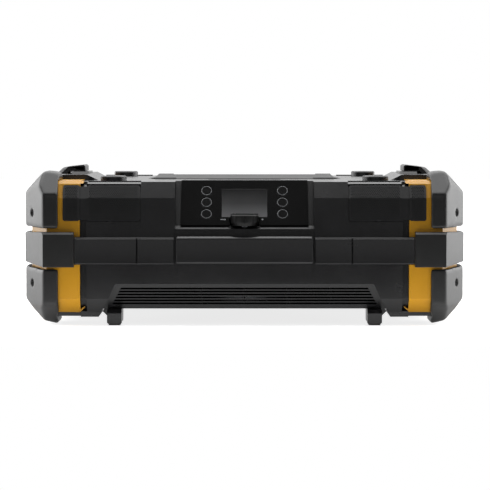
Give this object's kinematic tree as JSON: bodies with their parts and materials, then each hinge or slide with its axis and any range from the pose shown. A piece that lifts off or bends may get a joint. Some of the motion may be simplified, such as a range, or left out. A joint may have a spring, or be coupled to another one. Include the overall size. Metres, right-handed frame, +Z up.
{
  "type": "jobsite radio",
  "caption": "Stackable jobsite radio: black folded body, yellow end caps, corner guards, leaning control pod, fold-flat handle, side latches and a rear battery bay.",
  "frame": {"origin": "centre of the footprint, on the ground under the foot pads", "axes": "+X to the right seen from the front, +Y to the back, +Z up; the front faces -Y"},
  "size_m": [0.44, 0.332, 0.1568],
  "materials": {
    "body_black": "fine moulded texture",
    "cap_yellow": "fine moulded texture",
    "guard_rubber": "matt overmoulded rubber",
    "rail_black": "satin moulded",
    "grille_black": "fine perforated",
    "button_black": "gloss with a pale ring",
    "panel_gloss": "polished",
    "display_glass": "clear window over a grey display",
    "display_metal": "folded frame",
    "board_green": "solder mask",
    "knob_black": "fluted satin",
    "steel": "zinc plated",
    "screw_black": "black oxide",
    "print_grey": "pale printed signs and rings",
    "cone_black": "pressed pulp with a rubber surround",
    "handle_black": "satin moulded",
    "bay_black": "satin moulded",
    "contact_brass": "plated blades on a moulded block",
    "pad_rubber": "soft rubber"
  },
  "bodies": {
    "housing": {"top_housing": "body_black", "handle_tray": "bay_black", "base_housing": "body_black", "left_end_cap": "cap_yellow", "right_end_cap": "cap_yellow", "front_left_top_guard": "guard_rubber", "front_left_mid_guard": "guard_rubber", "front_left_bottom_guard": "guard_rubber", "front_right_top_guard": "guard_rubber", "front_right_mid_guard": "guard_rubber", "front_right_bottom_guard": "guard_rubber", "rear_left_top_guard": "guard_rubber", "rear_left_mid_guard": "guard_rubber", "rear_left_bottom_guard": "guard_rubber", "rear_right_top_guard": "guard_rubber", "rear_right_mid_guard": "guard_rubber", "rear_right_bottom_guard": "guard_rubber", "front_center_rail": "rail_black", "front_left_rail": "rail_black", "front_right_rail": "rail_black", "rear_left_rail": "rail_black", "rear_right_rail": "rail_black", "left_side_rail": "rail_black", "right_side_rail": "rail_black", "control_pod": "body_black", "control_panel": "panel_gloss", "display_window": "display_glass", "display_module": "display_metal", "control_board": "board_green", "knob_encoder": "steel", "front_grilles": "grille_black", "rear_grilles": "grille_black", "tweeter_frames": "steel", "tweeter_cones": "cone_black", "woofer_frame": "steel", "woofer_cone": "cone_black", "woofer_grille": "body_black", "front_louvre": "body_black", "handle_pins": "steel", "latch_decks": "body_black", "latch_pins": "steel", "battery_bay": "bay_black", "battery_terminal": "contact_brass", "main_board": "board_green", "power_supply": "board_green", "power_inlet": "bay_black", "legs": "body_black", "foot_pads": "pad_rubber", "guard_screws": "screw_black"},
    "volume_knob": {"volume_knob": "knob_black"},
    "carry_handle": {"carry_handle": "handle_black"},
    "left_latch": {"left_latch": "handle_black"},
    "right_latch": {"right_latch": "handle_black"},
    "battery_door": {"battery_door": "body_black"},
    "power_button": {"power_button": "button_black"},
    "source_button": {"source_button": "button_black"},
    "preset_button": {"preset_button": "button_black"},
    "menu_button": {"menu_button": "button_black"},
    "next_button": {"next_button": "button_black"},
    "previous_button": {"previous_button": "button_black"}
  },
  "joints": [
    {"name": "knob_turn", "type": "hinge", "parent": "housing", "child": "volume_knob", "pos_m": [0, -0.15, 0.1037], "axis": [0, 0, 1], "continuous": true},
    {"name": "power_press", "type": "slide", "parent": "housing", "child": "power_button", "axis": [0, 0.8344, -0.5512], "range_m": [0, 0.0008], "stiffness_N_per_m": 600},
    {"name": "source_press", "type": "slide", "parent": "housing", "child": "source_button", "axis": [0, 0.8344, -0.5512], "range_m": [0, 0.0008], "stiffness_N_per_m": 600},
    {"name": "preset_press", "type": "slide", "parent": "housing", "child": "preset_button", "axis": [0, 0.8344, -0.5512], "range_m": [0, 0.0008], "stiffness_N_per_m": 600},
    {"name": "menu_press", "type": "slide", "parent": "housing", "child": "menu_button", "axis": [0, 0.8344, -0.5512], "range_m": [0, 0.0008], "stiffness_N_per_m": 600},
    {"name": "next_press", "type": "slide", "parent": "housing", "child": "next_button", "axis": [0, 0.8344, -0.5512], "range_m": [0, 0.0008], "stiffness_N_per_m": 600},
    {"name": "previous_press", "type": "slide", "parent": "housing", "child": "previous_button", "axis": [0, 0.8344, -0.5512], "range_m": [0, 0.0008], "stiffness_N_per_m": 600},
    {"name": "handle_lift", "type": "hinge", "parent": "housing", "child": "carry_handle", "pos_m": [0, 0.036, 0.137], "axis": [-1, 0, 0], "range_deg": [0, 90]},
    {"name": "right_latch_swing", "type": "hinge", "parent": "housing", "child": "right_latch", "pos_m": [0.207, 0, 0.10045], "axis": [0, 1, 0], "range_deg": [0, 75]},
    {"name": "left_latch_swing", "type": "hinge", "parent": "housing", "child": "left_latch", "pos_m": [-0.207, 0, 0.10045], "axis": [0, -1, 0], "range_deg": [0, 75]},
    {"name": "door_drop", "type": "hinge", "parent": "housing", "child": "battery_door", "pos_m": [0, 0.1545, 0.036], "axis": [-1, 0, 0], "range_deg": [0, 90]}
  ]
}
